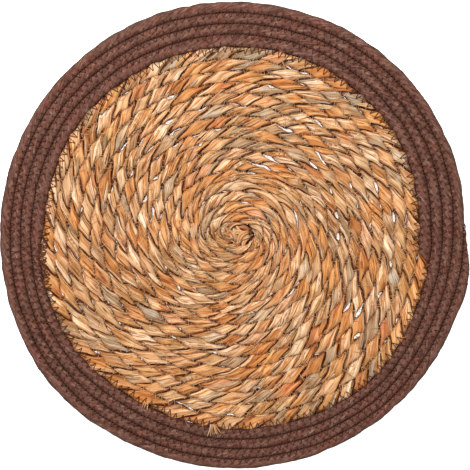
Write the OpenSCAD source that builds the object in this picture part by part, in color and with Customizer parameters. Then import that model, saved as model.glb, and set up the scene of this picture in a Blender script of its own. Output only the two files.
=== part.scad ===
// Round coiled seat pad. A two-ply straw rope is wound into a flat spiral and zigzag sewn turn to
// turn. A dyed paper rope takes over where the straw ends and makes the border. Both faces are
// alike, so the pad can be used either way up. Lengths are in millimetres.
// The origin is at the middle of the pad's outline, on its underside. +X points at the place
// where the straw rope ends, and the coil grows outwards anticlockwise as seen from above.

/* [Pad] */
// Thickness of the pad, the ropes pressed flat by the sewing foot
pad_t = 8; // [7:0.5:12]
// Corner radius of a pressed rope
rope_r = 3.2; // [2.5:0.1:3.4]
// Free space between neighbouring turns and between plies
turn_gap = 0.1; // [0.1:0.05:0.3]

/* [Straw rope] */
// Distance from one straw turn to the next
straw_pitch = 9; // [8:0.5:12]
// Whole turns of straw rope
straw_turns = 17; // [6:1:22]

/* [Paper rope] */
// Distance from one paper turn to the next
paper_pitch = 8.5; // [8:0.5:11]
// Whole turns of paper rope
paper_turns = 4; // [2:1:6]
// Thickness of the dyed wrap around the rope's core
wrap_t = 0.8; // [0.5:0.1:1.5]
// Length over which the rope's outer end is pressed down to nothing much
taper_len = 26; // [20:1:40]
// Width left at the very tip
tip_w = 2.5; // [2:0.5:4]

/* [Sewing] */
// Width of a seam's thread as it lies in the groove
seam_w = 2.4; // [1.5:0.1:2.6]
// Thread thickness
thread_d = 0.4; // [0.3:0.05:0.5]
// Overcast stitches that bind the paper rope's outer end
end_stitches = 5; // [3:1:7]

/* [Hidden] */
$fn = 96;
eps = 0.01;
part_clear = 0.05;        // free space around a thread or a core
straw_w = straw_pitch - turn_gap;
paper_w = paper_pitch - turn_gap;

// Centreline radius of each rope's first half turn. The straw starts as tight as it can bend. The
// paper rope starts on the straw's last turn and clears the straw's end one turn further out.
straw_r = straw_w / 2 + 0.25;
straw_end = straw_r + straw_turns * straw_pitch - straw_pitch / 4;
paper_start = straw_end + (straw_w + paper_w) / 2 + turn_gap - paper_pitch;
paper_r = paper_start + paper_pitch / 4;

// The border's last half turn gives the pad's outline
border_r = paper_r + (2 * paper_turns - 1) * paper_pitch / 2 + paper_w / 2;
tail_x = paper_pitch / 4 + sqrt(pow(border_r, 2) - pow(taper_len, 2));
tip_x = paper_start + paper_turns * paper_pitch - paper_w / 2 + tip_w;
left_x = border_r - paper_pitch / 4;
top_y = border_r - paper_pitch / 2;
centre_x = (tail_x - left_x) / 2;
centre_y = (top_y - border_r) / 2;

tail_press = 0.7;         // how much lower the bound tail is on each face
stitch_pitch = taper_len / (end_stitches + 2);

// Two places on the rim of the straw where a leaf end has worked loose: angle and length of each,
// and the fan that it has split into
loose_ends = [[272.7, 11], [251.7, 6]];
strip_fan = [-22, -9, 6, 20];
strip_w = 0.7;
strip_t = 0.3;

// A round rope pressed flat: a rectangle w wide and t thick with round corners
module pressed_rope(w, t, r) {
    for (x = [-1, 1], z = [-1, 1])
        translate([x * (w / 2 - r), z * (t / 2 - r)])
            circle(r);
    square([w - 2 * r, t], center = true);
    square([w, t - 2 * r], center = true);
}

// Carries a flat section along a spiral of half turns about two centres, which lie a quarter of a
// pitch either side of the middle, so that each half turn begins where the last one ended. Each
// half turn is laid in one or more arcs.
module coil(first_r, pitch, half_turns, last_angle = 180, arcs = 1) {
    for (k = [0 : half_turns - 1], a = [0 : arcs - 1]) {
        sweep = (k < half_turns - 1 ? 180 : last_angle) / arcs;
        translate([(k % 2 == 0 ? -1 : 1) * pitch / 4, 0, 0])
            rotate([0, 0, 180 * (k % 2) + a * sweep])
                rotate_extrude(angle = sweep)
                    translate([first_r + k * pitch / 2, 0])
                        children();
    }
}

module centred() {
    translate([-centre_x, -centre_y, 0]) children();
}

// One of the two plies, drawn untwisted as its half of the rope's section
module straw_ply(side) {
    coil(straw_r, straw_pitch, 2 * straw_turns)
        translate([0, pad_t / 2])
            intersection() {
                pressed_rope(straw_w, pad_t, rope_r);
                translate([side * (straw_w + turn_gap) / 4, 0])
                    square([(straw_w - turn_gap) / 2, pad_t + 1], center = true);
            }
}

module straw_ply_a() {
    color("#c98f55") centred() straw_ply(-1);
}

module straw_ply_b() {
    color("#bd8a58") centred() straw_ply(1);
}

// The first leaves of the rope, folded back into the half round space in the middle of the coil
module straw_start_tuck() {
    tuck_r = straw_r + straw_pitch / 2 - straw_w / 2 - 2 * part_clear;
    color("#b97c48") centred()
        translate([straw_pitch / 4, 0, 1])
            intersection() {
                cylinder(r = tuck_r, h = pad_t - 2);
                translate([-tuck_r, -tuck_r, 0])
                    cube([2 * tuck_r, tuck_r - turn_gap, pad_t]);
            }
}

// Leaf ends that have worked out of the last straw turn and lie split on the border's first turn
module loose_leaf_ends() {
    root_r = straw_end - straw_pitch / 2;
    color("#cf9a66") centred()
        for (leaf = loose_ends)
            rotate([0, 0, leaf[0]])
                translate([root_r, 0, pad_t])
                    for (a = strip_fan)
                        rotate([0, 0, a])
                            translate([0, -strip_w / 2, 0])
                                cube([leaf[1], strip_w, strip_t]);
}

// A seam's thread, drawn as the flat band in which it zigzags along a groove
module seam(first_r, pitch, half_turns, z, last_angle = 180) {
    coil(first_r - pitch / 2, pitch, half_turns, last_angle)
        translate([-seam_w / 2, z])
            square([seam_w, thread_d]);
}

needle_z = pad_t - thread_d - part_clear;
bobbin_z = part_clear;

module straw_seam(z) {
    color("#d9b48c") centred()
        seam(straw_r + straw_pitch, straw_pitch, 2 * straw_turns - 2, z);
}

module straw_seam_needle_thread() {
    straw_seam(needle_z);
}

module straw_seam_bobbin_thread() {
    straw_seam(bobbin_z);
}

// The border's seam starts where the straw ends and stops where the overcast stitches take over
module border_seam(z) {
    color("#3a2218") centred()
        seam(paper_r, paper_pitch, 2 * paper_turns, z, 178 - asin(taper_len / border_r));
}

module border_seam_needle_thread() {
    border_seam(needle_z);
}

module border_seam_bobbin_thread() {
    border_seam(bobbin_z);
}

// What is taken off the border's outer end: the slope that brings it in to the rim, and the upper
// and lower skin where it is bound flat. inset keeps the core inside the wrap.
module tail_cut(inset) {
    translate([0, 0, -1])
        linear_extrude(pad_t + 2)
            polygon([[tip_x - inset, 1], [tail_x - inset, -taper_len], [tail_x + 10, -taper_len],
                [tail_x + 10, 1]]);
    for (z = [inset + tail_press - 10, pad_t - inset - tail_press])
        translate([tip_x - 20, -taper_len + 4, z])
            cube([60, taper_len, 10]);
}

module paper_rope(inset) {
    difference() {
        coil(paper_r, paper_pitch, 2 * paper_turns, arcs = 2)
            translate([0, pad_t / 2])
                pressed_rope(paper_w - 2 * inset, pad_t - 2 * inset, rope_r - inset);
        tail_cut(inset);
    }
}

module paper_rope_core() {
    color("#b08d68") centred() paper_rope(wrap_t + part_clear);
}

module paper_rope_wrap() {
    color("#5f4239") centred()
        difference() {
            paper_rope(0);
            coil(paper_r, paper_pitch, 2 * paper_turns, arcs = 2)
                translate([0, pad_t / 2])
                    pressed_rope(paper_w - 2 * wrap_t, pad_t - 2 * wrap_t, rope_r - wrap_t);
        }
}

// Overcast stitches around the rim that hold the tail: over it, round its side and back under
module rope_end_stitches() {
    color("#3a2218") centred()
        for (n = [1 : end_stitches]) {
            y = -n * stitch_pitch;
            reach = tip_x + (tail_x - tip_x) * (-y + thread_d) / taper_len + thread_d;
            translate([reach, y, tail_press / 2])
                rotate([90, 0, 0])
                    linear_extrude(thread_d)
                        difference() {
                            translate([-2 * tip_w, 0])
                                square([2 * tip_w, pad_t - tail_press]);
                            translate([-2 * tip_w - eps, tail_press / 2 - part_clear])
                                square([2 * tip_w - thread_d, pad_t - 2 * tail_press + 2 * part_clear]);
                        }
        }
}

straw_ply_a();
straw_ply_b();
straw_start_tuck();
loose_leaf_ends();
straw_seam_needle_thread();
straw_seam_bobbin_thread();
paper_rope_core();
paper_rope_wrap();
rope_end_stitches();
border_seam_needle_thread();
border_seam_bobbin_thread();
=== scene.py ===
"""Round coiled seat pad: a two-ply straw rope wound into a flat spiral and zigzag sewn, with a
border of brown twisted paper rope. Lengths are in metres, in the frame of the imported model."""
import math

import bpy
import numpy as np
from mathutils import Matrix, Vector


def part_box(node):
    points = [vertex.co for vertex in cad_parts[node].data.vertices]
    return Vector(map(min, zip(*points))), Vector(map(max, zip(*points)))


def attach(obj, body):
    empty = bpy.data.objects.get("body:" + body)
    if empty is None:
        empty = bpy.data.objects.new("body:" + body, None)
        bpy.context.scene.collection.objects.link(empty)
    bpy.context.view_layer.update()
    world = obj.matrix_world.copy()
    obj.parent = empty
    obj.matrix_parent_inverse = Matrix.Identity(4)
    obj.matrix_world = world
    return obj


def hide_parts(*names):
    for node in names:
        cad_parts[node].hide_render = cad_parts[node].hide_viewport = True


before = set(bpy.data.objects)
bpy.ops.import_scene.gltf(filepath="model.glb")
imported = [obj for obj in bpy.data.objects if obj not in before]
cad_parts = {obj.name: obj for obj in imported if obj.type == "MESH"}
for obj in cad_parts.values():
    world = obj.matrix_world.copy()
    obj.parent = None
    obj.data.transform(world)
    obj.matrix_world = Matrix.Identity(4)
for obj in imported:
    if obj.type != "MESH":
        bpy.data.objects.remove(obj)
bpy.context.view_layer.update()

# ------------------------------------------------------------------ driving sizes
MM = 0.001
STRAW_TURNS = 17
PAPER_TURNS = 4
ALL_TURNS = STRAW_TURNS + PAPER_TURNS
CAD_PAPER_PITCH = 8.5 * MM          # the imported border's pitch, from which its middle is found

border_low, border_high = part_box("paper_rope_wrap")
THICK = border_high.z               # the pad's thickness
LAST_HALF_TURN = (border_high.y - border_low.y) / 2 + CAD_PAPER_PITCH / 4
PAD_MIDDLE = np.array([border_low.x + LAST_HALF_TURN - CAD_PAPER_PITCH / 4,
                       border_low.y + LAST_HALF_TURN])
PAD_EDGE = LAST_HALF_TURN + CAD_PAPER_PITCH / 4     # where the border's last turn ends

PAPER_PITCH = 8.35 * MM             # the paper rope's width, row to row
STRAW_EDGE = PAD_EDGE - PAPER_TURNS * PAPER_PITCH   # where the straw's last turn ends
STRAW_PITCH_IN = 7.3 * MM           # the straw rope is wound tight in the middle
STRAW_PITCH_OUT = 10.2 * MM         # and looser, so wider, at its last turn
START_SHIFT = np.array([3.2, -2.2]) * MM            # the coil was started off the pad's middle
NEST = 1.18                         # how far a row's widest places press into its neighbours

STRAW_START = 0.10                  # turns; the rope's first bend lies inside turn 0
SCARF = (-0.0017, 0.0078)           # where straw gives way to paper, turns past STRAW_TURNS
SCARF_TIP = 0.6 * MM                # width of the straw where the scarf ends
TAIL = (ALL_TURNS - 0.014, ALL_TURNS + 0.030)       # turns over which the border's end thins out
TAIL_WIDTH = 0.7 * MM
# Where the rope was fed in slackly or tightly: angle, half reach in degrees, and mm outwards. The
# border's are for each turn of it, the straw's are at the straw's edge.
BORDER_BULGES = ((26, 40, 0.90), (60, 30, 0.60), (226, 36, 0.70), (356, 18, 0.14))
STRAW_BULGES = ((34, 22, 1.6), (112, 52, -2.7), (218, 34, 3.0), (281, 26, 2.0), (318, 34, 4.6))
OVAL = 0.20                         # how far the coil's middle is longer than it is wide
OVAL_HEADING = math.radians(9)      # which way it is long
SEAM_START = STRAW_TURNS - 0.471    # where the border's sewing was begun, and the coil steps out
SEAM_STEP = 2.0 * MM                # how far it steps out there
UNEVEN = 0.55 * MM                  # how far a hand-fed row wanders in or out
TWIST_LENGTH = 40 * MM              # rope length in which a ply goes once around
PAPER_LAY = 75 * MM                 # rope length in which a fold of the paper goes once around
STITCH = 2.85 * MM                  # along the seam from one needle hole to the next

RNG_SEED = 20                       # every random draw starts from this and a number of its own


# ------------------------------------------------------------------ the coil
def ramp(x, start, end):
    """Smooth step from 0 at start to 1 at end."""
    u = np.clip((x - start) / (end - start), 0, 1)
    return u * u * (3 - 2 * u)


def lobes(turn, bulges):
    """Sum of cosine-squared bulges, each at its angle, with its half reach and its height."""
    total = 0
    for place, reach, height in bulges:
        off = ((turn % 1) * 360 - place + 180) % 360 - 180
        total = total + height * MM * np.cos(np.clip(off / reach, -1, 1) * np.pi / 2) ** 2
    return total


def row_edge(turn):
    """Outer edge radius of the row at a number of turns. The straw's pitch grows evenly with the
    turns, so its edge is that sum from the straw's end inwards; the paper's pitch is constant.
    Both bulge at a few angles where they were fed in slackly: the straw's bulges fade in over
    its outer turns and out over the border, and the border's grow from its first turn to its
    last. The edge steps out where the border's sewing begins, a smooth step in the angle that
    dies away on both sides, and wanders a little all along."""
    turn = np.asarray(turn, float)
    t = np.minimum(turn, STRAW_TURNS)
    growth = (STRAW_PITCH_OUT - STRAW_PITCH_IN) / (2 * STRAW_TURNS)
    straw = (STRAW_EDGE - STRAW_PITCH_IN * (STRAW_TURNS - t)
             - growth * (STRAW_TURNS**2 - np.sign(t) * t**2))
    past = np.maximum(turn - STRAW_TURNS, 0)
    fading = ramp(turn, 10, 16.3) * np.clip(1 - past / PAPER_TURNS, 0, 1)
    bulge = past * lobes(turn, BORDER_BULGES) + fading * lobes(turn, STRAW_BULGES)
    from_step = (turn - SEAM_START) * 360
    step = SEAM_STEP * np.tanh(from_step / 2.5) * np.exp(-np.abs(from_step) / 40)
    uneven = (UNEVEN * wander(np.sign(turn) * turn**2 * 1.8, RNG_SEED + 7)
              * ramp(turn, 0.5, 2) * (1 - 0.35 * ramp(turn, 16, 17) - 0.35 * ramp(turn, 20, 20.2)))
    return straw + PAPER_PITCH * past + bulge + step + uneven


def row_middle(turn):
    """Point that a row is wound about: it drifts from where the coil was started to the pad's
    middle by a smooth step over the straw's turns."""
    drift = ramp(np.asarray(turn, float), 0, STRAW_TURNS)
    return PAD_MIDDLE + START_SHIFT * (1 - drift)[..., None]


def on_coil(turn, radius, height):
    """Point at a radius about its row's middle, in the direction of its turn, at a height. Near
    the middle the coil is stretched into an oval, which fades with the radius."""
    angle = 2 * np.pi * turn
    spot = row_middle(turn)
    oval = OVAL * (1 - ramp(radius, 4 * MM, 42 * MM))
    onward = radius * np.cos(angle - OVAL_HEADING) * (1 + oval)
    aside = radius * np.sin(angle - OVAL_HEADING) * (1 - oval)
    lean, rise = math.cos(OVAL_HEADING), math.sin(OVAL_HEADING)
    return np.stack([spot[..., 0] + onward * lean - aside * rise,
                     spot[..., 1] + onward * rise + aside * lean,
                     height + 0 * angle], -1)


def running_length(first, last, radius_of, count):
    """Table of turns and of a spiral's length up to each: the running sum of radius times
    angle."""
    fine = np.linspace(first, last, count)
    speed = 2 * np.pi * np.abs(radius_of(fine))
    return fine, np.concatenate([[0], np.cumsum((speed[1:] + speed[:-1]) / 2 * np.diff(fine))])


def walk(first, last, radius_of, step):
    """Turns at equal steps of length along a spiral, and the length at each, read back from its
    running length."""
    fine, length = running_length(first, last, radius_of, 40000)
    even = np.linspace(0, length[-1], int(length[-1] / step) + 1)
    return np.interp(even, length, fine), even


# ------------------------------------------------------------------ noise
def wander(x, seed):
    """Smooth random curve between -1 and 1: random values at whole numbers, joined by smooth
    steps."""
    table = np.random.default_rng(seed).uniform(-1, 1, 4096)
    cell = np.floor(x).astype(int)
    u = x - cell
    u = u * u * (3 - 2 * u)
    return table[cell % 4096] * (1 - u) + table[(cell + 1) % 4096] * u


def wander2(x, y, seed, around=None):
    """Smooth random surface between -1 and 1, like wander in two directions. With around set, it
    repeats after that many cells in y, so that it closes around a rope."""
    table = np.random.default_rng(seed).uniform(-1, 1, (2048, 256))
    cx, cy = np.floor(x).astype(int), np.floor(y).astype(int)
    u, v = x - cx, y - cy
    u, v = u * u * (3 - 2 * u), v * v * (3 - 2 * v)
    wrap = around or 256

    def at(i, j):
        return table[i % 2048, j % wrap]

    return ((at(cx, cy) * (1 - u) + at(cx + 1, cy) * u) * (1 - v)
            + (at(cx, cy + 1) * (1 - u) + at(cx + 1, cy + 1) * u) * v)


# ------------------------------------------------------------------ mesh helpers
def new_object(name, points, faces, uv=None, values=None, material=None):
    """Mesh object from arrays. uv is one pair per face corner; values maps a name to one number
    per point."""
    mesh = bpy.data.meshes.new(name)
    mesh.from_pydata(points.reshape(-1, 3).tolist(), [], faces)
    if uv is not None:
        layer = mesh.uv_layers.new(name="along")
        layer.data.foreach_set("uv", np.asarray(uv, np.float32).ravel())
    for key, value in (values or {}).items():
        attribute = mesh.attributes.new(key, "FLOAT", "POINT")
        attribute.data.foreach_set("value", np.asarray(value, np.float32).ravel())
    mesh.shade_smooth()
    mesh.validate()
    piece = bpy.data.objects.new(name, mesh)
    bpy.context.collection.objects.link(piece)
    if material:
        mesh.materials.append(material)
    return piece


def tube_faces(rings, around):
    """Quads of a closed tube of rings, wound so that they face outwards when points run
    anticlockwise about the direction opposite to travel, and the two end caps."""
    i, j = np.meshgrid(np.arange(rings - 1), np.arange(around), indexing="ij")
    k = (j + 1) % around
    quads = np.stack([i * around + j, (i + 1) * around + j,
                      (i + 1) * around + k, i * around + k], -1).reshape(-1, 4)
    start = np.arange(around).tolist()
    end = ((rings - 1) * around + np.arange(around)[::-1]).tolist()
    return quads.tolist() + [start, end]


def tube_uv(across, along):
    """Corner coordinates of tube_faces: across has one more column than the tube has points, so
    that the last quad around runs on instead of back."""
    rings, around = across.shape[0], across.shape[1] - 1
    i, j = np.meshgrid(np.arange(rings - 1), np.arange(around), indexing="ij")
    corner = [(i, j), (i + 1, j), (i + 1, j + 1), (i, j + 1)]
    quads = np.stack([np.stack([across[c], along[c]], -1) for c in corner], 2).reshape(-1, 2)
    caps = [np.stack([across[r, :around], along[r, :around]], -1) for r in (0, rings - 1)]
    return np.concatenate([quads, *caps])


def many_faces(count, rings, sides):
    """Faces of many tubes, one after another: the quads of all, and the end caps of all."""
    one = tube_faces(rings, sides)
    shift = (np.arange(count) * rings * sides)[:, None, None]
    quads = (np.array(one[:-2]) + shift).reshape(-1, 4)
    caps = (np.array(one[-2:]) + shift).reshape(-1, sides)
    return quads, caps


def unit(vectors):
    """Vectors scaled to length 1."""
    return vectors / np.maximum(np.linalg.norm(vectors, axis=-1, keepdims=True), 1e-9)


# ------------------------------------------------------------------ straw rope
def straw_rows(turn):
    """Inner and outer edge of the straw row. Its outer edge is cut away along the scarf."""
    inner, outer = row_edge(turn - 1), row_edge(turn)
    cut = ramp(turn - STRAW_TURNS, *SCARF)
    return inner, outer + (inner + SCARF_TIP - outer) * cut


def straw_middle(turn):
    inner, outer = straw_rows(turn)
    return (inner + outer) / 2


STRAW_LANES = 2                     # leaves side by side around a ply
STRAW_AROUND = 18                   # mesh points around a ply
STRAW_RING = 1.35 * MM              # from one ring of points to the next
LEAF_TURN = 0.5                     # turns that a leaf makes back around its ply in one rope twist
straw_turn, straw_length = walk(STRAW_START, STRAW_TURNS + SCARF[1], straw_middle, STRAW_RING)


def ply_phase(length, side):
    """Angle that the rope has twisted through at a length: evenly with the length, but tighter at
    its start, where the extra angle dies away exponentially, and a little uneven all along."""
    return (2 * np.pi * length / TWIST_LENGTH + np.pi * side - 7 * np.exp(-length / (150 * MM))
            + 2.4 * wander(length / (95 * MM), RNG_SEED + 4)
            + 0.6 * wander(length / (34 * MM), RNG_SEED + 5))


def ply_lane(alpha, length, side):
    """Which leaf of the ply lies at an angle around it: leaves run back around the ply against
    the rope's twist, so that they lie nearly along the rope where they show. A leaf's middle
    faces up where its ply lies on top."""
    return (STRAW_LANES * (alpha + LEAF_TURN * ply_phase(length, side)) / (2 * np.pi) + 0.25
            + 0.22 * wander(length / (45 * MM), RNG_SEED + 10 * side + 1))


def rounded_square(alpha, fullness):
    """Radius at an angle of a superellipse: 1 at the sides, and past 1 at the corners."""
    corner = np.abs(np.cos(alpha)) ** fullness + np.abs(np.sin(alpha)) ** fullness
    return corner ** (-1 / fullness)


def ply_section(length, alpha, side):
    """Point of a ply's section before it is turned with the rope: a rounded half of the rope's
    own, beside the rope's middle. It swells where its leaves are thick, and each leaf's surface
    rises slowly from one edge to the other and then steps back down."""
    seed = RNG_SEED + 10 * side
    slope = ply_lane(alpha, length, side) % 1
    edge_step = np.where(slope < 0.88, slope / 0.88, (1 - slope) / 0.12) - 0.5
    half_across, half_along, fullness = 0.5, 0.89, 2.8
    swell = (1 + 0.08 * wander(length / (21 * MM), seed + 2)
             + 0.05 * wander2(length / (9 * MM), alpha / (2 * np.pi) * 5, seed + 3, 5))
    reach = rounded_square(alpha, fullness) * swell * (1 + 0.06 * edge_step)
    return 0.5 + half_across * reach * np.cos(alpha), half_along * reach * np.sin(alpha)


def pressing(across, up):
    """Factor that presses a rope's section into its row: 1 up to a knee, past which the size,
    measured as a superellipse's, grows by a tanh instead of evenly."""
    fullness, knee = 2.3, 0.80
    size = (np.abs(across) ** fullness + np.abs(up) ** fullness) ** (1 / fullness)
    past = np.maximum(size - knee, 0) / (1 - knee)
    held = np.where(past > 0, knee + (1 - knee) * np.tanh(past) * 1.08, size)
    return held / np.maximum(size, 0.01)


def row_slack(turn, length):
    """Where the rope lies so slackly that a slit opens on its outer side: 1 at the peaks of a
    random curve, and none in the first turns nor, nearly, against the border."""
    peaks = ramp(wander(length / (9 * MM), RNG_SEED + 6), 0.64, 0.86)
    return peaks * ramp(turn, 3, 6) * (1 - 0.85 * ramp(turn, 15.9, 16))


def ply_point(turn, length, alpha, side, lift=0.0):
    """Point on a ply's surface: its section, turned by the rope's twist and pressed into the row.
    The rope is widest where one ply lies on top of the other, and is drawn in on its outer side
    where it is slack. lift raises the point off."""
    phase = ply_phase(length, side)
    x, y = ply_section(length, alpha, side)
    across = x * np.cos(phase) - y * np.sin(phase)
    up = x * np.sin(phase) + y * np.cos(phase)
    pressed = pressing(across, up)

    inner, outer = straw_rows(turn)
    start = 0.45 + 0.55 * ramp(length, -1 * MM, 9 * MM)
    breath = 1 - 0.17 * np.cos(2 * phase)
    nest = (NEST - 0.08 * (1 - ramp(turn, 2, 5))
            - 0.58 * row_slack(turn, length) * ramp(across, 0, 0.9))
    half_width = (outer - inner) / 2 * nest * breath
    radius = (inner + outer) / 2 + across * pressed * (half_width * start + lift)
    height = THICK / 2 + up * pressed * (THICK / 2 * 0.99 * start + lift)
    return on_coil(turn + 0 * radius, radius, height)


def facing_up(length, side):
    """Angle around the ply that faces straight up at each length."""
    return np.pi / 2 - ply_phase(length, side)


def ply_surface(side):
    """One ply's surface, ring by ring, with the leaf at each point and how much painted shade it
    gets: in the crease towards the other ply, which is more open in some places than in others,
    and where it lies deep down between the rows, near the middle of the thickness."""
    turn, length = straw_turn[:, None], straw_length[:, None]
    alpha = 2 * np.pi * np.arange(STRAW_AROUND + 1) / STRAW_AROUND
    points = ply_point(turn, length, alpha, side)
    # Painted shade: a mask for the crease towards the other ply and for the deep groove between
    # rows.
    crease = np.clip((-np.cos(alpha) - 0.56) / 0.28, 0, 1)
    crease = crease * np.clip(0.8 + 0.4 * wander(length / (13 * MM), RNG_SEED + 8), 0, 1)
    deep = 1 - np.abs(points[..., 2] / THICK * 2 - 1)
    groove_from = 0.33 - 0.1 * wander(length / (8 * MM), RNG_SEED + 9)
    groove = np.clip((deep - groove_from) / 0.25, 0, 1)
    return points, ply_lane(alpha, length, side), np.maximum(crease, 0.9 * groove)


def make_straw_ply(letter, side, material):
    """Both lengths of a ply: its bundle of leaves is spliced half way along the rope."""
    points, lane, painted_shade = ply_surface(side)
    half = len(straw_turn) // 2
    made = []
    for part, rings in (("inner", slice(0, half + 1)), ("outer", slice(half, None))):
        body = points[rings, :-1]
        faces = tube_faces(len(body), STRAW_AROUND)
        along = np.broadcast_to(straw_length[rings, None], lane[rings].shape)
        piece = new_object(f"straw_ply_{letter}_{part}_turns", body, faces,
                           tube_uv(lane[rings], along),
                           {"painted_shade": painted_shade[rings, :-1], "ply": np.full(body.shape[:2], side)},
                           material)
        made.append(piece)
    return made


# ------------------------------------------------------------------ paper rope
def paper_rows(turn):
    """Inner and outer edge of the paper row: it starts as a wedge in the scarf, and its outer end
    thins out along the rim."""
    inner, outer = row_edge(turn - 1), row_edge(turn)
    begin = ramp(turn - STRAW_TURNS, *SCARF)
    inner = outer + (inner - outer) * np.maximum(begin, 0.08)
    thin = ramp(turn, *TAIL)
    return inner, outer + (inner + TAIL_WIDTH - outer) * thin


def paper_middle(turn):
    inner, outer = paper_rows(turn)
    return (inner + outer) / 2


def seam_length(first, last):
    """Table of turns and lengths along a seam, which follows the outer edge of a row."""
    return running_length(first, last, row_edge, 60000)


PAPER_AROUND = 22                   # mesh points around the paper rope
PAPER_RING = 1.0 * MM               # from one ring of points to the next
BORDER_SEAM = (STRAW_TURNS - 1 + SCARF[1], TAIL[1] - 1.004)
# Turns over which the border's seam was sewn twice more, to lock it where it begins.
SECURED = ((SEAM_START - 0.004, SEAM_START + 0.034), (SEAM_START + 0.006, SEAM_START + 0.045))
border_turns, border_lengths = seam_length(*BORDER_SEAM)
paper_turn, paper_length = walk(STRAW_TURNS + SCARF[0], TAIL[1], paper_middle, PAPER_RING)


def paper_surface():
    """The twisted paper rope: a rounded square section with long slanting folds where the
    twisted strip is gathered, fine crepe wrinkles, and a dimple at each needle hole, which dies
    away between holes as a power of a cosine. Where it touches a neighbour it is never narrower
    than its row. Also how deep each point lies at the sides of its row, which sets its painted
    shade in the grooves, and how much painted shade it gets on the outer side of the rim."""
    turn, length = paper_turn[:, None], paper_length[:, None]
    alpha = 2 * np.pi * np.arange(PAPER_AROUND + 1) / PAPER_AROUND
    square = rounded_square(alpha, 2.6)
    turns_round = alpha / (2 * np.pi)
    twist = turns_round - length / PAPER_LAY
    fold = wander2(length / (15 * MM), twist * 9, RNG_SEED + 31, 9)
    crepe = wander2(length / (3.2 * MM), twist * 16, RNG_SEED + 32, 16)
    swell = 1 + 0.14 * fold + 0.04 * crepe + 0.03 * wander(length / (17 * MM), RNG_SEED + 33)

    inner, outer = paper_rows(turn)
    on_rim = ramp(turn, ALL_TURNS - 1, ALL_TURNS - 0.97)
    free_side = on_rim * (np.cos(alpha) > 0)
    side_swell = swell + (np.maximum(swell, 0.97) - swell) * (1 - free_side)
    across = np.cos(alpha) * square * side_swell
    up = np.sin(alpha) * square * swell
    thin = ramp(turn, *TAIL)
    begin = ramp(turn - STRAW_TURNS, *SCARF)
    height = THICK / 2 * (1 - 0.25 * thin) * (0.6 + 0.4 * begin)

    outer_at = np.interp(turn, border_turns, border_lengths, left=-1, right=-1) / (2 * STITCH)
    inner_at = np.interp(turn - 1, border_turns, border_lengths, left=-1, right=-1) / (2 * STITCH)
    pull_out = np.cos(np.pi * (outer_at - 0.5)) ** 2 * (outer_at > 0)
    pull_in = np.cos(np.pi * inner_at) ** 2 * (inner_at > 0)
    pulled = pull_out ** 3 * np.clip(across, 0, 1) + pull_in ** 3 * np.clip(-across, 0, 1)
    dimple = np.abs(up) ** 1.5 * pulled
    up = np.clip(up * (0.98 - 0.09 * dimple), -1, 1)
    radius = (inner + outer) / 2 + across * (outer - inner) / 2 * (1.07 - 0.05 * free_side)
    points = on_coil(turn + 0 * radius, radius, THICK / 2 + up * height)

    # Painted shade: a mask for the sides of the row, deep in the grooves, except on the rim's free
    # side.
    groove = np.clip((np.abs(across) - 0.80) / 0.16, 0, 1) * np.where(across > 0, 1 - on_rim, 1)
    # Painted shade on the rim's outer flank, growing towards its outer side.
    painted_rim_shade = on_rim * np.clip(across * 2.0 - 1.0, 0, 1)
    return points, turns_round + 0 * length, length + 0 * radius, groove, painted_rim_shade


def make_paper_rope(material):
    points, around, along, groove, painted_rim_shade = paper_surface()
    faces = tube_faces(len(points), PAPER_AROUND)
    return new_object("paper_rope_wrap_twisted", points[:, :-1], faces, tube_uv(around, along),
                      {"painted_shade": groove[:, :-1], "painted_rim_shade": painted_rim_shade[:, :-1]}, material)


CORE_AROUND = 12                    # mesh points around the core


def make_paper_core(material):
    """Three twisted strands inside the wrap: a round section whose radius has three swellings
    that turn with the length."""
    turn, length = walk(STRAW_TURNS + SCARF[1] + 0.004, TAIL[0], paper_middle, 3.2 * MM)
    turn, length = turn[:, None], length[:, None]
    alpha = 2 * np.pi * np.arange(CORE_AROUND + 1) / CORE_AROUND
    core_lay, third = 30 * MM, 0.33
    strands = 1 + 0.09 * np.cos(3 * (alpha - 2 * np.pi * length / core_lay))
    inner, outer = paper_rows(turn)
    radius = (inner + outer) / 2 + np.cos(alpha) * strands * (outer - inner) * third
    height = THICK / 2 + np.sin(alpha) * strands * THICK * third
    points = on_coil(turn + 0 * radius, radius, height)
    uv = tube_uv(alpha / (2 * np.pi) + 0 * length, length + 0 * alpha)
    return new_object("paper_rope_core_strands", points[:, :-1],
                      tube_faces(len(points), CORE_AROUND), uv, material=material)


# ------------------------------------------------------------------ sewing
def many_tubes(name, paths, radius, material, sides=5):
    """Many short tubes as one piece. paths is tubes by points by 3; each ring is square to its
    path, about a direction that is level and one that is square to both. which is a random
    number for each tube."""
    paths = np.asarray(paths, float)
    count, rings = paths.shape[:2]
    along = unit(np.gradient(paths, axis=1))
    level = unit(np.cross(along, [0, 0, 1.0]))
    rise = np.cross(level, along)
    a = 2 * np.pi * np.arange(sides) / sides
    radius = np.broadcast_to(np.asarray(radius, float), (count, rings))[..., None, None]
    ring = (level[:, :, None] * np.cos(a)[:, None] + rise[:, :, None] * np.sin(a)[:, None])
    points = paths[:, :, None] + ring * radius
    quads, caps = many_faces(count, rings, sides)
    which = np.repeat(np.random.default_rng(RNG_SEED + count).random(count), rings * sides)
    return new_object(name, points, quads.tolist() + caps.tolist(), values={"which": which},
                      material=material)


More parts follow.
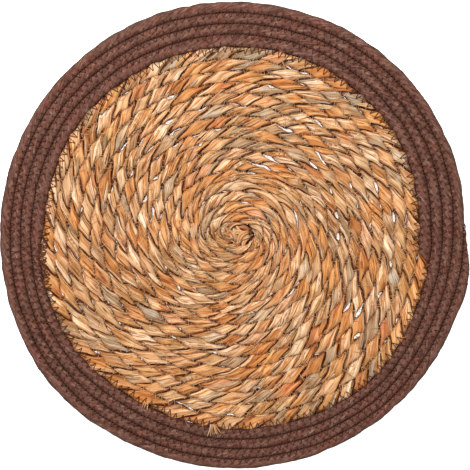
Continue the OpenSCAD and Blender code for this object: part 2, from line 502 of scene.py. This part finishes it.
def ribbons(name, paths, across, half_width, half_thick, material, sides=6, depth=0.0):
    """Many thin leaf strips as one piece. Each ring is a flat oval, half_width along its across
    direction and half_thick square to that and to the path. The strip's leaf coordinate runs
    from edge to edge, and its length coordinate along it. depth says how deep each strip lies,
    and is the painted shade that it gets."""
    count, rings = paths.shape[:2]
    along = unit(np.gradient(paths, axis=1))
    across = unit(across - along * (across * along).sum(2, keepdims=True))
    rise = np.cross(across, along)
    a = 2 * np.pi * np.arange(sides) / sides
    width = np.broadcast_to(half_width, (count, rings))[..., None, None]
    thick = np.broadcast_to(half_thick, (count, rings))[..., None, None]
    points = (paths[:, :, None] + across[:, :, None] * np.cos(a)[:, None] * width
              + rise[:, :, None] * np.sin(a)[:, None] * thick)
    quads, caps = many_faces(count, rings, sides)
    leaf = np.random.default_rng(RNG_SEED + count).integers(0, 999, count)[:, None, None]
    far = np.concatenate([np.zeros((count, 1)), np.linalg.norm(np.diff(paths, axis=1), axis=2)], 1)
    lane = leaf + 0.5 + 0.46 * np.cos(a) + 0 * far[..., None]
    length = np.cumsum(far, 1)[..., None] + leaf * 0.01 + 0 * lane
    corners = np.stack([lane.ravel(), length.ravel()], -1)
    order = np.concatenate([quads.ravel(), caps.ravel()])
    values = {"ply": np.repeat(leaf.ravel() % 7, rings * sides),
              "painted_shade": np.zeros(points.shape[:3]) + depth}
    return new_object(name, points, quads.tolist() + caps.tolist(), corners[order], values,
                      material)


def on_straw(length):
    """Turn of the straw rope at a length along it."""
    return np.interp(length, straw_length, straw_turn)


def leaf_flakes(name, count, side_up, seed, material, rings=7):
    """Outer leaf layers that don't lie quite tight: strips that follow a ply's own leaves where
    they face up or down, standing off a little at their ends, as the cube of the distance from
    their middle."""
    widths, lengths, lift = (1.8, 5.0), (12, 30), 0.45      # mm
    rng = np.random.default_rng(seed)
    ply = rng.integers(0, 2, (count, 1))
    reach = rng.uniform(*lengths, (count, 1)) * MM
    start = 12 * MM + rng.random((count, 1)) ** 1.3 * (straw_length[-1] - 50 * MM)
    u = np.linspace(0, 1, rings)
    length = start + reach * u
    centre = start + reach / 2
    turned = 0 if side_up > 0 else np.pi
    alpha = (np.where(ply == 1, facing_up(centre, 1), facing_up(centre, 0)) + turned
             + rng.normal(0, 0.45, (count, 1))
             - 2 * np.pi * LEAF_TURN * (length - centre) / TWIST_LENGTH)
    stand = (0.05 + lift * rng.random((count, 1)) * np.abs(2 * u - 1) ** 3) * MM
    turn = on_straw(length)

    def point(angle):
        both = [ply_point(turn, length, angle, k, stand) for k in (0, 1)]
        return np.where((ply == 1)[..., None], both[1], both[0])

    paths = point(alpha)
    paths[..., 2] = np.clip(paths[..., 2], -0.2 * MM, THICK + 1.2 * MM)
    across = point(alpha + 0.05) - point(alpha - 0.05)
    pinch = np.sqrt(np.maximum(1 - np.abs(2 * u - 1) ** 2.2, 0.004))
    width = rng.uniform(*widths, (count, 1)) * MM / 2 * pinch
    return ribbons(name, paths, across, width, 0.09 * MM, material)


def stray_fibres(name, count, side_up, seed, material, rings=6):
    """Fine split fibres that bridge the grooves: short arcs at random headings just above the
    face, bowed up as a parabola, with both ends in the straw."""
    rng = np.random.default_rng(seed)
    length = rng.random((count, 1)) * straw_length[-1]
    turn = on_straw(length)
    u = np.linspace(-0.5, 0.5, rings)
    reach = rng.uniform(4, 13, (count, 1)) * MM
    heading = rng.normal(0.5, 0.5, (count, 1))
    curl = rng.normal(0, 0.35, (count, 1))
    sideways = reach * (u * np.sin(heading) + curl * (u * u - 0.25) * np.cos(heading))
    onward = reach * (u * np.cos(heading) - curl * (u * u - 0.25) * np.sin(heading))
    radius = row_edge(turn - 0.5 * rng.random((count, 1))) + sideways
    turn = turn + onward / (2 * np.pi * np.maximum(radius, 6 * MM))
    bow = rng.uniform(0.1, 0.9, (count, 1)) * MM * (1 - (2 * u) ** 2)
    height = THICK / 2 + side_up * (THICK / 2 - 0.5 * MM + bow)
    paths = on_coil(turn, radius, height)
    across = np.cross(np.gradient(paths, axis=1), [0, 0, 1.0])
    return ribbons(name, paths, across, 0.17 * MM, 0.10 * MM, material, sides=4)


def zigzag(first, last, reach_in, reach_out, side, lift, sag, seed):
    """Arms of a zigzag seam on one face. Holes alternate between the row inside the groove and
    the row outside it; each arm rises out of its hole, runs straight over the groove, where the
    tension draws it down by up to the sag, and dives into the next hole. The tension comes and
    goes along the seam. Over the paper the arms reach less far in than over the softer straw,
    and where the border's end thins out they stay on it."""
    turns, lengths = seam_length(first, last)
    rng = np.random.default_rng(seed)
    count = int(lengths[-1] / STITCH)
    at = (np.arange(count + 1) + rng.normal(0, 0.07, count + 1)) * STITCH
    hole = np.interp(at, lengths, turns)
    out = np.arange(count + 1) % 2
    inner, outer = paper_rows(np.clip(hole + 1, STRAW_TURNS + SCARF[1], TAIL[1]))
    reach_out = np.minimum(reach_out, outer - inner - 0.5 * MM)
    reach_in = reach_in * (1 - 0.3 * ramp(hole, STRAW_TURNS - 0.05, STRAW_TURNS))
    reach = np.where(out == 1, reach_out, -reach_in) * (1 + rng.normal(0, 0.10, count + 1))
    radius = row_edge(hole) + reach
    u = np.array([0, 0.08, 0.3, 0.5, 0.7, 0.92, 1])
    turn = hole[:-1, None] * (1 - u) + hole[1:, None] * u
    radius = radius[:-1, None] * (1 - u) + radius[1:, None] * u
    dive = np.array([0.9, 0.05, 0.0, 0.0, 0.0, 0.05, 0.9]) * MM
    tight = np.clip(0.75 + 0.9 * wander(at[:-1, None] / (60 * MM), seed), 0.1, 1)
    dip = sag * tight * rng.random((count, 1)) * np.sin(np.pi * u)
    dip = dip - rng.normal(0, 0.06 * MM, (count, 1))
    height = THICK / 2 + side * (THICK / 2 + lift - dive - dip)
    return on_coil(turn, radius, height)


def start_tuck(material):
    """The rope's first leaves, bent back over its middle: strips that cross an oval in shallow
    arcs, one on another, with painted shade that makes them darker the deeper inside they lie.
    Most lean one way, the way the rope's end was folded in, and those past its far end are
    turned on round."""
    rng = np.random.default_rng(RNG_SEED + 70)
    count, rings = 96, 9
    middle = row_middle(np.zeros(1))[0]
    u = np.linspace(-1, 1, rings)
    layer = np.arange(count)[:, None] / (count - 1)
    away = rng.uniform(-1, 1, (count, 1)) * (13 - 4 * layer) * MM
    aside = rng.uniform(-1, 1, (count, 1)) * (9 - 5 * layer) * MM
    heading = rng.normal(math.radians(-35), 0.4, (count, 1)) + 1.8 * ramp(away, 1 * MM, 5 * MM)
    reach = rng.uniform(3.0, 6.5, (count, 1)) * MM
    bend = rng.normal(0, 0.35, (count, 1)) * reach
    along, over = reach * u, bend * (u * u - 0.3)
    x = middle[0] + away + along * np.cos(heading) - over * np.sin(heading)
    y = middle[1] + aside + along * np.sin(heading) + over * np.cos(heading)
    z = THICK * (0.12 + 0.88 * layer) + 0.5 * MM * (1 - u * u) - 1.6 * MM * layer * u ** 6
    paths = np.stack([x, y, z], -1)
    across = np.cross(np.gradient(paths, axis=1), [0, 0, 1.0])
    width = rng.uniform(1.3, 4.2, (count, 1)) * MM / 2 * np.sqrt(np.maximum(1 - u**4, 0.02))
    level = layer[..., None]
    # Painted shade for the deeper strips, none for the top ones nor the very lowest.
    depth = np.clip(2.0 - 2.5 * level, 0, 1) * np.clip(7 * level - 0.3, 0, 1)
    return ribbons("straw_start_tuck_leaves", paths, across, width, 0.25 * MM, material,
                   depth=depth)


LOOSE_ENDS = ((272.7, 8.0, 6), (251.7, 4.5, 4))    # angle, length in mm and strands of each


def loose_ends(material):
    """Leaf ends that have worked out of the straw's last turn and split: side by side at their
    root, the strands fan out over the border in shallow arches just above its face."""
    root_width, inside = 3.2, 2.5                           # mm
    rng = np.random.default_rng(RNG_SEED + 71)
    paths, widths = [], []
    u = np.linspace(0, 1, 8)
    for angle, reach, strands in LOOSE_ENDS:
        turn = STRAW_TURNS - 1 + angle / 360
        root = row_edge(turn) - inside * MM
        for strand in range(strands):
            place = strand / (strands - 1) - 0.5
            fan = 0.6 * place + 0.25 + rng.normal(0, 0.10)
            far = (inside + reach * rng.uniform(0.55, 1.0)) * MM
            radius = root + far * u * math.cos(fan)
            curve = rng.normal(0, 0.12) * u * u
            aside = root_width * MM * place + far * (u * math.sin(fan) + curve)
            height = THICK + (0.15 + 1.1 * u * (1 - u) * rng.random() + 0.25 * rng.random()) * MM
            paths.append(on_coil(turn + aside / (2 * np.pi * radius), radius, height))
            widths.append(rng.uniform(0.9, 1.7) * MM / 2 * (1 - 0.6 * u))
    paths = np.array(paths)
    across = np.cross(np.gradient(paths, axis=1), [0, 0, 1.0])
    return ribbons("loose_leaf_ends_split", paths, across, np.array(widths), 0.13 * MM, material)


def end_stitches(material):
    """Overcast stitches over the border's outer end: loops from the groove over the rope, round
    the rim and back under it, slanting a little."""
    rng = np.random.default_rng(RNG_SEED + 72)
    count = 7
    turn = np.linspace(TAIL[0] + 0.004, TAIL[1] - 0.002, count)[:, None]
    inner, outer = paper_rows(turn)
    a = np.linspace(0.97 * np.pi, -0.97 * np.pi, 17)
    half = (outer - inner) / 2 * 1.05 + 0.1 * MM
    square = rounded_square(a, 3.2)
    rise = THICK / 2 * (1.02 - 0.25 * ramp(turn, *TAIL))
    radius = (inner + outer) / 2 + half * square * np.cos(a)
    slant = rng.normal(0.004, 0.002, (count, 1)) * np.sin(a / 2)
    paths = on_coil(turn + slant, radius, THICK / 2 + rise * square * np.sin(a))
    return many_tubes("rope_end_stitches_overcast", paths, 0.3 * MM, material)


# ------------------------------------------------------------------ materials
def linear(hex_colour):
    """Linear RGBA from an sRGB hex colour."""
    srgb = [int(hex_colour[i:i + 2], 16) / 255 for i in (1, 3, 5)]
    return [c / 12.92 if c <= 0.04045 else ((c + 0.055) / 1.055) ** 2.4 for c in srgb] + [1.0]


def add(tree, kind, inputs=None, stops=(), **settings):
    """Adds a node, sets its properties, sets or links its inputs, and gives a colour ramp its
    stops: pairs of a position and a hex colour."""
    node = tree.nodes.new(kind)
    for key, value in settings.items():
        setattr(node, key, value)
    for key, value in (inputs or {}).items():
        if isinstance(value, bpy.types.NodeSocket):
            tree.links.new(value, node.inputs[key])
        else:
            node.inputs[key].default_value = value
    for number, (place, colour) in enumerate(stops):
        points = node.color_ramp.elements
        point = points[number] if number < 2 else points.new(place)
        point.position = place
        point.color = linear(colour)
    return node


def start_material(name):
    material = bpy.data.materials.new(name)
    material.use_nodes = True
    tree = material.node_tree
    tree.nodes.clear()
    return material, tree


def straw_material():
    """Dried sedge leaf, twisted while damp: satin, with fine lengthwise veins. Each leaf dries to
    its own tone, from pale straw and honey to grey-green and rust, and folds and creases where
    it is twisted, with painted shade in the folds and along each leaf's edges. Inside the twist
    and between the rows it is darkened with painted shade."""
    material, t = start_material("dried_leaf_twisted")
    leaf_length = 0.07              # metres of rope over which one leaf shows
    leaf_point = 0.5                # how gradually a leaf narrows to its tip
    stagger_by = 31.0               # leaf lengths; any large number keeps neighbours out of step
    veins_across = 7.0              # per leaf; real ones are finer, and would not show
    vein_length = 0.016             # metres
    strips_across = 4.0             # a twisted leaf shows as a few narrow folds
    stains_per_metre = 55.0         # damp stains are about 18 mm wide

    # Which leaf: its lane around the ply, its ply, and its number along the rope.
    uv = add(t, "ShaderNodeUVMap", uv_map="along")
    axes = add(t, "ShaderNodeSeparateXYZ", {0: uv.outputs[0]})
    ply = add(t, "ShaderNodeAttribute", attribute_name="ply")
    lane = add(t, "ShaderNodeMath", {0: axes.outputs[0]}, operation="FLOOR")
    place = add(t, "ShaderNodeMath", {0: axes.outputs[0]}, operation="FRACT")
    wrapped = add(t, "ShaderNodeMath", {0: lane.outputs[0], 1: float(STRAW_LANES)},
                  operation="FLOORED_MODULO")
    key = add(t, "ShaderNodeCombineXYZ", {0: wrapped.outputs[0], 1: ply.outputs["Fac"]})
    stagger = add(t, "ShaderNodeTexWhiteNoise", {"Vector": key.outputs[0]},
                  noise_dimensions="3D")
    off_middle = add(t, "ShaderNodeMath", {0: place.outputs[0], 1: 0.5}, operation="SUBTRACT")
    from_middle = add(t, "ShaderNodeMath", {0: off_middle.outputs[0]}, operation="ABSOLUTE")
    along = add(t, "ShaderNodeMath", {0: axes.outputs[1], 1: 1 / leaf_length},
                operation="MULTIPLY")
    shifted = add(t, "ShaderNodeMath",
                  {0: stagger.outputs[0], 1: stagger_by, 2: along.outputs[0]},
                  operation="MULTIPLY_ADD")
    pointed = add(t, "ShaderNodeMath",
                  {0: from_middle.outputs[0], 1: leaf_point, 2: shifted.outputs[0]},
                  operation="MULTIPLY_ADD")
    segment = add(t, "ShaderNodeMath", {0: pointed.outputs[0]}, operation="FLOOR")
    leaf_key = add(t, "ShaderNodeCombineXYZ",
                   {0: wrapped.outputs[0], 1: segment.outputs[0], 2: ply.outputs["Fac"]})
    leaf = add(t, "ShaderNodeTexWhiteNoise", {"Vector": leaf_key.outputs[0]},
               noise_dimensions="3D")
    tone = add(t, "ShaderNodeValToRGB", {0: leaf.outputs["Value"]}, stops=[
        (0.00, "#b9aa98"), (0.12, "#d6bfa4"), (0.22, "#e6b67e"), (0.40, "#d69c62"),
        (0.54, "#ecc49a"), (0.74, "#f0d0ac"), (0.92, "#f8e0c6"), (1.00, "#d08448")])

    # Veins, long and thin along the leaf.
    vein_x = add(t, "ShaderNodeMath", {0: place.outputs[0], 1: veins_across},
                 operation="MULTIPLY")
    vein_y = add(t, "ShaderNodeMath", {0: axes.outputs[1], 1: 1 / vein_length},
                 operation="MULTIPLY")
    vein_spot = add(t, "ShaderNodeCombineXYZ",
                    {0: vein_x.outputs[0], 1: vein_y.outputs[0], 2: leaf.outputs["Value"]})
    vein = add(t, "ShaderNodeTexNoise", {
        "Vector": vein_spot.outputs[0], "Scale": 1.0, "Detail": 3.0, "Roughness": 0.65})
    vein_shade = add(t, "ShaderNodeValToRGB", {0: vein.outputs["Fac"]}, stops=[
        (0.30, "#57300f"), (0.38, "#b98f68"), (0.47, "#e8d8c6"), (0.58, "#ffffff")])

    # Narrow strips of the folded leaf, each a little lighter or darker, with painted shade as a
    # dark line in the fold between.
    strip_at = add(t, "ShaderNodeMath", {0: place.outputs[0], 1: strips_across},
                   operation="MULTIPLY")
    strip = add(t, "ShaderNodeMath", {0: strip_at.outputs[0]}, operation="FLOOR")
    strip_spot = add(t, "ShaderNodeCombineXYZ", {0: strip.outputs[0]})
    strip_key = add(t, "ShaderNodeVectorMath",
                    {0: leaf.outputs["Color"], 1: strip_spot.outputs[0]}, operation="ADD")
    strip_tone = add(t, "ShaderNodeTexWhiteNoise", {"Vector": strip_key.outputs[0]},
                     noise_dimensions="3D")
    strip_shade = add(t, "ShaderNodeValToRGB", {0: strip_tone.outputs["Value"]}, stops=[
        (0.0, "#c9a988"), (0.5, "#f0e2d2"), (1.0, "#ffffff")])
    in_strip = add(t, "ShaderNodeMath", {0: strip_at.outputs[0]}, operation="FRACT")
    fold = add(t, "ShaderNodeValToRGB", {0: in_strip.outputs[0]}, stops=[
        (0.0, "#5a2c0e"), (0.18, "#ffffff"), (0.96, "#ffffff"), (1.0, "#5a2c0e")])

    # Damp stains over whole leaves, and painted shade along each leaf's two edges, where one leaf
    # steps down to the next.
    coords = add(t, "ShaderNodeTexCoord")
    stain = add(t, "ShaderNodeTexNoise", {
        "Vector": coords.outputs["Object"], "Scale": stains_per_metre, "Detail": 2.0})
    stain_tint = add(t, "ShaderNodeValToRGB", {0: stain.outputs["Fac"]}, stops=[
        (0.35, "#d9d4c6"), (0.5, "#ffffff"), (0.68, "#ffe8cc")])
    edge = add(t, "ShaderNodeValToRGB", {0: place.outputs[0]}, stops=[
        (0.0, "#5a2c10"), (0.06, "#ffffff"), (0.84, "#ffffff"), (1.0, "#7a4420")])

    colour = tone.outputs[0]
    layers = ((0.95, vein_shade), (0.9, strip_shade), (strip_tone.outputs["Value"], fold),
              (0.8, stain_tint), (0.8, edge))
    for strength, shade in layers:
        layer = add(t, "ShaderNodeMix", {0: strength, 6: colour, 7: shade.outputs[0]},
                    data_type="RGBA", blend_type="MULTIPLY")
        colour = layer.outputs[2]
    # Painted shade: the crease between the plies and the deep groove between rows are mixed
    # towards dark red-brown.
    painted_shade = add(t, "ShaderNodeAttribute", attribute_name="painted_shade")
    shaded = add(t, "ShaderNodeMix", {0: painted_shade.outputs["Fac"], 6: colour, 7: linear("#481402")},
                 data_type="RGBA", blend_type="MIX")
    height = add(t, "ShaderNodeBump", {
        "Height": vein.outputs["Fac"], "Strength": 0.5, "Distance": 0.4 * MM})
    shader = add(t, "ShaderNodeBsdfPrincipled", {
        "Base Color": shaded.outputs[2], "Roughness": 0.6, "IOR": 1.45,
        "Specular IOR Level": 0.14, "Normal": height.outputs[0]})
    add(t, "ShaderNodeOutputMaterial", {"Surface": shader.outputs[0]})
    return material


def paper_material():
    """Dyed kraft paper twisted into rope: matt, with streaks of rubbed dye along its slanting
    folds, reddish where the dye is thin; painted shade makes it near black in the grooves and
    greyish dark on the rim's outer side."""
    material, t = start_material("dyed_twisted_paper")
    streaks_around = 20.0           # 1 to 2 mm wide each, like the gathers of the strip
    streak_length = 0.012           # metres
    flecks_per_metre = 330.0        # crushed fibre, drawn 3 mm coarse, or it would not show
    patches_per_metre = 90.0        # uneven dye, about 11 mm

    # Streaks follow the paper's lay: the place around the rope turns back with the length.
    uv = add(t, "ShaderNodeUVMap", uv_map="along")
    axes = add(t, "ShaderNodeSeparateXYZ", {0: uv.outputs[0]})
    turn = add(t, "ShaderNodeMath", {0: axes.outputs[1], 1: -1 / PAPER_LAY, 2: axes.outputs[0]},
               operation="MULTIPLY_ADD")
    around = add(t, "ShaderNodeMath", {0: turn.outputs[0], 1: streaks_around},
                 operation="MULTIPLY")
    onward = add(t, "ShaderNodeMath", {0: axes.outputs[1], 1: 1 / streak_length},
                 operation="MULTIPLY")
    spot = add(t, "ShaderNodeCombineXYZ", {0: around.outputs[0], 1: onward.outputs[0]})
    streak = add(t, "ShaderNodeTexNoise", {
        "Vector": spot.outputs[0], "Scale": 1.0, "Detail": 4.0, "Roughness": 0.72,
        "Distortion": 0.6})
    coords = add(t, "ShaderNodeTexCoord")
    fleck = add(t, "ShaderNodeTexNoise", {
        "Vector": coords.outputs["Object"], "Scale": flecks_per_metre, "Detail": 3.0,
        "Roughness": 0.8})
    flecks = add(t, "ShaderNodeMath", {0: fleck.outputs["Fac"], 1: 0.36}, operation="MULTIPLY")
    wear = add(t, "ShaderNodeMath", {0: streak.outputs["Fac"], 1: 0.64, 2: flecks.outputs[0]},
               operation="MULTIPLY_ADD")
    tone = add(t, "ShaderNodeValToRGB", {0: wear.outputs[0]}, stops=[
        (0.33, "#29130c"), (0.42, "#503229"), (0.50, "#66453a"), (0.58, "#78584c"),
        (0.68, "#a58678")])
    patch = add(t, "ShaderNodeTexNoise", {
        "Vector": coords.outputs["Object"], "Scale": patches_per_metre, "Detail": 2.0})
    tint = add(t, "ShaderNodeValToRGB", {0: patch.outputs["Fac"]}, stops=[
        (0.34, "#ffdcd2"), (0.48, "#f2eae6"), (0.64, "#e6e4e2")])
    tinted = add(t, "ShaderNodeMix", {0: 0.55, 6: tone.outputs[0], 7: tint.outputs[0]},
                 data_type="RGBA", blend_type="MULTIPLY")

    # Painted shade: the rim's outer flank is mixed towards dark grey-brown.
    painted_rim_shade = add(t, "ShaderNodeAttribute", attribute_name="painted_rim_shade")
    amount = add(t, "ShaderNodeMath", {0: painted_rim_shade.outputs["Fac"], 1: 0.85}, operation="MULTIPLY")
    greyed = add(t, "ShaderNodeMix",
                 {0: amount.outputs[0], 6: tinted.outputs[2], 7: linear("#372820")},
                 data_type="RGBA", blend_type="MIX")
    # Painted shade: the grooves between the rows are mixed towards near black.
    painted_shade = add(t, "ShaderNodeAttribute", attribute_name="painted_shade")
    shaded = add(t, "ShaderNodeMix",
                 {0: painted_shade.outputs["Fac"], 6: greyed.outputs[2], 7: linear("#240b04")},
                 data_type="RGBA", blend_type="MIX")
    height = add(t, "ShaderNodeBump", {
        "Height": wear.outputs[0], "Strength": 0.7, "Distance": 0.7 * MM})
    shader = add(t, "ShaderNodeBsdfPrincipled", {
        "Base Color": shaded.outputs[2], "Roughness": 0.9, "IOR": 1.45,
        "Specular IOR Level": 0.12, "Normal": height.outputs[0]})
    add(t, "ShaderNodeOutputMaterial", {"Surface": shader.outputs[0]})
    return material


def core_material():
    """Undyed twisted kraft paper: dull light brown with lengthwise creases, 30 around the core
    and about 8 mm long."""
    material, t = start_material("undyed_twisted_paper")
    uv = add(t, "ShaderNodeUVMap", uv_map="along")
    spot = add(t, "ShaderNodeMapping", {"Vector": uv.outputs[0], "Scale": (30, 120, 1)})
    crease = add(t, "ShaderNodeTexNoise", {
        "Vector": spot.outputs[0], "Scale": 1.0, "Detail": 3.0})
    tone = add(t, "ShaderNodeValToRGB", {0: crease.outputs["Fac"]}, stops=[
        (0.3, "#8f7454"), (0.7, "#bfa27c")])
    shader = add(t, "ShaderNodeBsdfPrincipled", {
        "Base Color": tone.outputs[0], "Roughness": 0.85, "IOR": 1.45})
    add(t, "ShaderNodeOutputMaterial", {"Surface": shader.outputs[0]})
    return material


def thread_material(name, dark, light, roughness):
    """Spun polyester and cotton sewing thread, with a low sheen: its twist gives light and dark
    along a stitch, and each stitch catches the light a little differently."""
    material, t = start_material(name)
    twists_per_metre = 1500.0       # a twist of the thread is about 0.7 mm long
    which = add(t, "ShaderNodeAttribute", attribute_name="which")
    coords = add(t, "ShaderNodeTexCoord")
    twist = add(t, "ShaderNodeTexNoise", {
        "Vector": coords.outputs["Object"], "Scale": twists_per_metre, "Detail": 1.0})
    mixed = add(t, "ShaderNodeMath", {0: twist.outputs["Fac"], 1: which.outputs["Fac"]},
                operation="MULTIPLY")
    tone = add(t, "ShaderNodeValToRGB", {0: mixed.outputs[0]}, stops=[
        (0.0, dark), (0.6, light)])
    shader = add(t, "ShaderNodeBsdfPrincipled", {
        "Base Color": tone.outputs[0], "Roughness": roughness, "IOR": 1.5,
        "Specular IOR Level": 0.2})
    add(t, "ShaderNodeOutputMaterial", {"Surface": shader.outputs[0]})
    return material


# ------------------------------------------------------------------ the pieces
straw = straw_material()
paper = paper_material()
core = core_material()
tan_thread = thread_material("tan_polycotton_thread", "#b98d62", "#e2bd92", 0.6)
brown_thread = thread_material("brown_polycotton_thread", "#3e1b0d", "#60301d", 0.7)


def finish_piece(piece, slot_name, *nodes):
    """Puts a piece on the root body and hides the imported nodes that it stands in for; slot_name
    is not used.
    """
    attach(piece, "root")
    if nodes:
        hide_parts(*nodes)


for letter, side in (("a", 0), ("b", 1)):
    for piece in make_straw_ply(letter, side, straw):
        finish_piece(piece, "straw_leaf", f"straw_ply_{letter}")

finish_piece(make_paper_rope(paper), "brown_paper", "paper_rope_wrap")
finish_piece(make_paper_core(core), "rope_core", "paper_rope_core")

STRAW_SEAM = (STRAW_START + 0.5, STRAW_TURNS - 1)
# Each seam's turns; how far its holes lie inside and outside the groove, its thread's radius and
# how far it may sag into the groove, in mm; and its finish.
seams = (
    ("straw_seam", STRAW_SEAM, 2.9, 2.9, 0.12, 3.4, tan_thread, "tan_thread"),
    ("border_seam", BORDER_SEAM, 5.5, 3.4, 0.32, 0.3, brown_thread, "brown_thread"),
)
# The thread of each face, the way it faces, and how high it stands, in mm, on straw and paper.
faces_sewn = (
    ("needle", 1, {"straw_seam": 0.10, "border_seam": 0.24}),
    ("bobbin", -1, {"straw_seam": 0.05, "border_seam": 0.10}),
)
for name, span, reach_in, reach_out, radius, sag, finish, slot_name in seams:
    for thread, face, lifts in faces_sewn:
        height = (face, lifts[name] * MM, sag * MM)
        arms = zigzag(*span, reach_in * MM, reach_out * MM, *height, RNG_SEED + 50)
        if name == "border_seam":
            again = [zigzag(*locked, reach_in * MM, reach_out * 0.6 * MM, *height, RNG_SEED + 51)
                     for locked in SECURED]
            arms = np.concatenate([arms, *again])
        piece = many_tubes(f"{name}_{thread}_zigzag", arms, radius * MM, finish)
        finish_piece(piece, slot_name, f"{name}_{thread}_thread")

finish_piece(start_tuck(straw), "straw_leaf", "straw_start_tuck")
finish_piece(loose_ends(straw), "straw_leaf", "loose_leaf_ends")
finish_piece(end_stitches(brown_thread), "brown_thread", "rope_end_stitches")

# Loose outer leaves on each face, and two stray fibres for every three of them.
loose = (("upper", 700, 1, RNG_SEED + 80), ("lower", 500, -1, RNG_SEED + 81))
for where, flakes, side_up, seed in loose:
    leaves = leaf_flakes(f"outer_leaves_{where}_face", flakes, side_up, seed, straw)
    finish_piece(leaves, "straw_leaf")
    fibres = stray_fibres(f"stray_fibres_{where}_face", flakes * 2 // 3, side_up, seed + 5, straw)
    finish_piece(fibres, "straw_leaf")


# ------------------------------------------------------------------ floor, light and camera
def board_material(name, colour, glow):
    """Matt white board, which glows a little so that it comes out plain white."""
    material, t = start_material(name)
    shader = add(t, "ShaderNodeBsdfPrincipled", {
        "Base Color": linear(colour), "Roughness": 0.9,
        "Emission Color": linear(colour), "Emission Strength": glow})
    add(t, "ShaderNodeOutputMaterial", {"Surface": shader.outputs[0]})
    return material


def make_floor():
    """A wide square at about the height that the seams on the pad's underside rest at."""
    half, down = 6.0, -0.5 * MM
    corners = ((-half, -half), (half, -half), (half, half), (-half, half))
    points = np.array([(x, y, down) for x, y in corners])
    floor = new_object("floor", points, [[0, 1, 2, 3]],
                       material=board_material("white_board", "#f7f7f7", 0.95))


def make_light(name, size, power, place):
    """A round softbox at a place, aimed at the origin."""
    light = bpy.data.lights.new(name, "AREA")
    light.shape = "DISK"
    light.size = size
    light.energy = power
    lamp = bpy.data.objects.new(name, light)
    lamp.location = place
    x, y, z = place
    lamp.rotation_euler = (math.atan2(math.hypot(x, y), z), 0, math.atan2(x, -y))
    bpy.context.collection.objects.link(lamp)


def make_camera():
    """Looks straight down, turned a little about the view. What it sees across, at the pad's
    upper face, is just the pad's width."""
    seen, distance, turned = 0.3816, 2.0, math.radians(8.9)
    camera = bpy.data.cameras.new("camera")
    camera.sensor_width = 36
    camera.lens = camera.sensor_width * distance / seen
    eye = bpy.data.objects.new("camera", camera)
    eye.location = (0, 0, distance + THICK)
    eye.rotation_euler = (0, 0, turned)
    bpy.context.collection.objects.link(eye)
    bpy.context.scene.camera = eye


make_floor()
make_light("softbox", 0.9, 38, (-0.7, 0.9, 1.5))
make_camera()
world = bpy.data.worlds.new("studio")
world.use_nodes = True
background = world.node_tree.nodes["Background"]
background.inputs["Color"].default_value = (1, 1, 1, 1)
background.inputs["Strength"].default_value = 0.75
bpy.context.scene.world = world
bpy.context.scene.view_settings.view_transform = "Standard"
